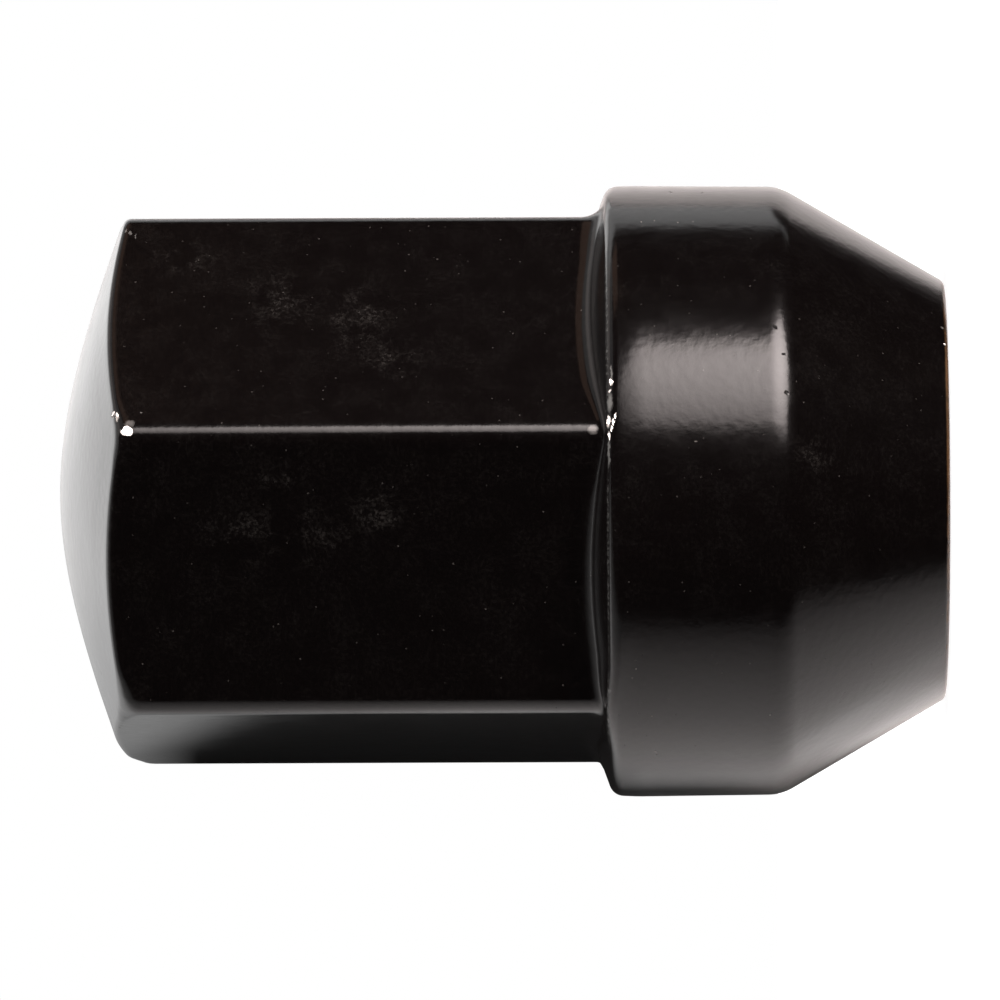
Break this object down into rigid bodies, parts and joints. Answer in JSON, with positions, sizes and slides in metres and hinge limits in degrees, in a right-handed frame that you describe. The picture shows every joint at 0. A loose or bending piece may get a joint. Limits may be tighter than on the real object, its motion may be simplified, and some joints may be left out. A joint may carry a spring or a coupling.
{
  "type": "lug nut",
  "caption": "Closed-end lug nut in gloss black: a hexagon with a domed crown, a wide collar and a 60 degree conical seat around a blind threaded bore.",
  "frame": {"origin": "centre of the open end, on the surface that the nut stands on", "axes": "+Z along the nut's axis from the open end to the crown, +X through a corner of the hexagon"},
  "size_m": [0.0268, 0.0268, 0.0388],
  "materials": {
    "black_coating": "gloss black coating over forged steel"
  },
  "bodies": {
    "root": {"lug_nut": "black_coating"}
  },
  "joints": []
}
